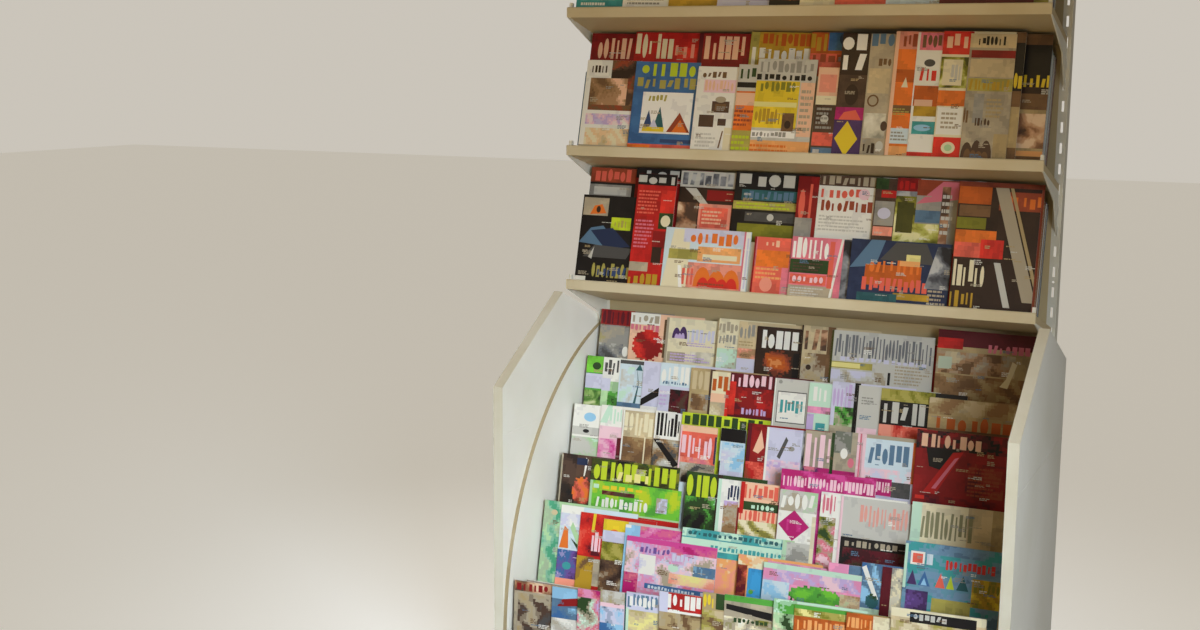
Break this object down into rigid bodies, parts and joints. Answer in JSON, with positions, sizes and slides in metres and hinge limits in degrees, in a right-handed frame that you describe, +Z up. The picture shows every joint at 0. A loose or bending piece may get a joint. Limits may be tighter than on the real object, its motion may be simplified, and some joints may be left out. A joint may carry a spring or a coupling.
{
  "type": "stocked magazine display bay of a newsagent kiosk",
  "caption": "Tall wall bay of a newsagent kiosk: tilted shelves on slotted uprights over a stepped rack with a low front bin, filled with fanned magazines.",
  "frame": {"origin": "on the floor, in the middle of the width and of the depth of the bay", "axes": "+Z up, +X to the right seen from the front, -Y out of the front, +Y towards the wall behind"},
  "size_m": [1.272, 0.623, 2.168],
  "materials": {
    "cream_board": "satin melamine",
    "cream_strip": "satin edging",
    "white_board": "satin melamine",
    "white_steel": "satin powder coat",
    "tan_trim": "matt edging",
    "paper": "glossy print paper"
  },
  "bodies": {
    "root": {"upright_left": "white_steel", "upright_right": "white_steel", "back_panel_lower": "cream_board", "back_panel_middle": "cream_board", "back_panel_upper": "cream_board", "cap_rail": "cream_board", "brackets_lower": "white_steel", "brackets_middle": "white_steel", "brackets_top": "white_steel", "shelf_lower": "cream_board", "shelf_middle": "cream_board", "shelf_top": "cream_board", "strip_lower": "cream_strip", "strip_middle": "cream_strip", "strip_top": "cream_strip", "end_stops": "white_steel", "gable_left": "white_board", "gable_right": "white_board", "gable_band_left": "cream_strip", "gable_band_right": "cream_strip", "cheek_left": "white_board", "cheek_right": "white_board", "cheek_trim_left": "tan_trim", "cheek_trim_right": "tan_trim", "tier_1": "white_board", "tier_2": "white_board", "tier_3": "white_board", "tier_4": "white_board", "tier_5": "white_board", "bin_back": "white_board", "bin_floor": "white_board", "bin_front": "white_board", "bin_rail": "tan_trim", "plinth": "cream_board", "magazines_shelf_top": "paper", "magazines_shelf_middle": "paper", "magazines_shelf_lower": "paper", "magazines_tier_1": "paper", "magazines_tier_2": "paper", "magazines_tier_3": "paper", "magazines_tier_4": "paper", "magazines_tier_5": "paper", "magazines_bin": "paper"}
  },
  "joints": []
}
